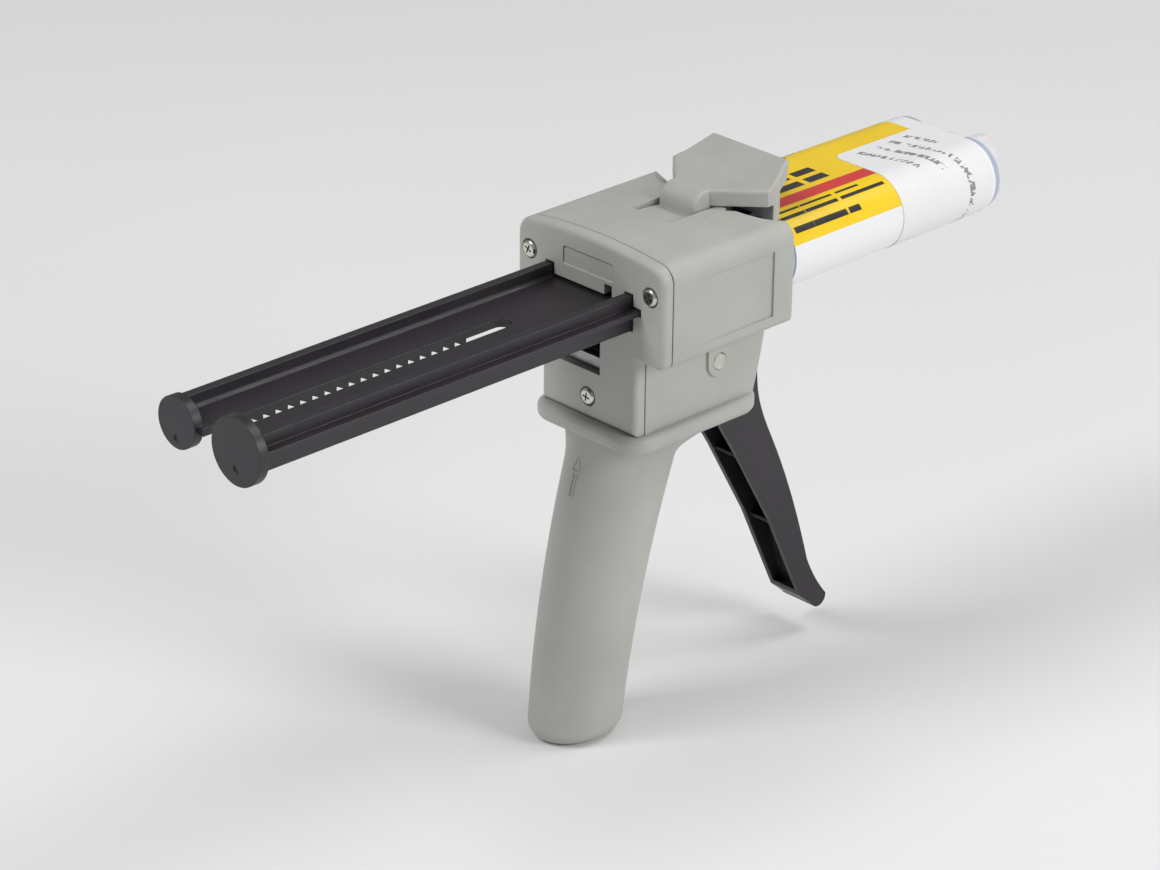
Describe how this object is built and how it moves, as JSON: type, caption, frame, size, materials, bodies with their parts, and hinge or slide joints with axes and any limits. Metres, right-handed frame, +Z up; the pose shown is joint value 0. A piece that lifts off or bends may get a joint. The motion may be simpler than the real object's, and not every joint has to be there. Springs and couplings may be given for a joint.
{
  "type": "two-component dispensing gun",
  "caption": "Hand-held dispensing gun with a forked push rod, toggle latch, squeeze trigger and twin-barrel cartridge with a bayonet cap.",
  "frame": {"origin": "middle of the cartridge slot, on the plane where the cartridge flange seats", "axes": "+X forward along the dispensing axis, +Y to the tool's left, +Z up"},
  "size_m": [0.2934, 0.0548, 0.1542],
  "materials": {
    "grey_body": "fine moulded grain, semi-matt",
    "dark_plastic": "smooth moulded charcoal, slight sheen",
    "nickel_screw": "bright nickel plate",
    "pale_steel": "ground steel",
    "spring_steel": "drawn spring wire",
    "white_plastic": "smooth white moulding",
    "milky_plastic": "milky translucent moulding",
    "yellow_label": "printed film label",
    "white_sticker": "matt paper sticker"
  },
  "bodies": {
    "gun": {"main_body": "grey_body", "rear_cover": "grey_body", "cover_screws": "nickel_screw", "latch_pin": "pale_steel", "trigger_pin": "pale_steel", "holding_pawl_pin": "pale_steel", "trigger_spring": "spring_steel", "holding_pawl_spring": "spring_steel", "cartridge_barrels": "milky_plastic", "cartridge_label": "yellow_label", "cartridge_sticker": "white_sticker", "outlet_plug": "white_plastic"},
    "trigger": {"trigger": "dark_plastic", "drive_pawl_pin": "pale_steel", "drive_pawl_spring": "spring_steel"},
    "drive_pawl": {"drive_pawl": "pale_steel"},
    "holding_pawl": {"holding_pawl": "dark_plastic"},
    "release_lever": {"release_lever": "spring_steel"},
    "latch": {"latch": "grey_body"},
    "plunger": {"plunger": "dark_plastic"},
    "piston_left": {"piston_left": "white_plastic"},
    "piston_right": {"piston_right": "white_plastic"},
    "cap": {"retaining_cap": "white_plastic"}
  },
  "joints": [
    {"name": "plunger_slide", "type": "slide", "parent": "gun", "child": "plunger", "axis": [1, 0, 0], "range_m": [-0.0726, 0.0088]},
    {"name": "piston_left_slide", "type": "slide", "parent": "gun", "child": "piston_left", "axis": [1, 0, 0], "range_m": [-0.0726, 0.0088]},
    {"name": "piston_right_slide", "type": "slide", "parent": "gun", "child": "piston_right", "axis": [1, 0, 0], "range_m": [-0.0726, 0.0088]},
    {"name": "trigger_pull", "type": "hinge", "parent": "gun", "child": "trigger", "pos_m": [-0.0128, 0, -0.0227], "axis": [0, 1, 0], "range_deg": [0, 26], "stiffness_Nm_per_rad": 1.2, "springref_deg": -20.05},
    {"name": "drive_pawl_hinge", "type": "hinge", "parent": "trigger", "child": "drive_pawl", "pos_m": [-0.0128, 0, -0.0107], "axis": [0, 1, 0], "range_deg": [-26, 0]},
    {"name": "release_lever_hinge", "type": "hinge", "parent": "gun", "child": "release_lever", "pos_m": [-0.025, 0, -0.0112], "axis": [0, 1, 0], "range_deg": [0, 8], "stiffness_Nm_per_rad": 0.1, "springref_deg": -17.19},
    {"name": "holding_pawl_hinge", "type": "hinge", "parent": "gun", "child": "holding_pawl", "pos_m": [-0.025, 0, -0.0112], "axis": [0, 1, 0], "range_deg": [0, 8]},
    {"name": "latch_hinge", "type": "hinge", "parent": "gun", "child": "latch", "pos_m": [-0.0072, 0, 0.0125], "axis": [0, -1, 0], "range_deg": [0, 45]},
    {"name": "cap_turn", "type": "hinge", "parent": "gun", "child": "cap", "pos_m": [0.1, 0, 0], "axis": [1, 0, 0], "range_deg": [0, 90]}
  ],
  "couplings": [
    {"joint": "piston_left_slide", "follows": "plunger_slide", "ratio": 1},
    {"joint": "piston_right_slide", "follows": "plunger_slide", "ratio": 1},
    {"joint": "drive_pawl_hinge", "follows": "trigger_pull", "ratio": -1},
    {"joint": "holding_pawl_hinge", "follows": "release_lever_hinge", "ratio": 1}
  ]
}
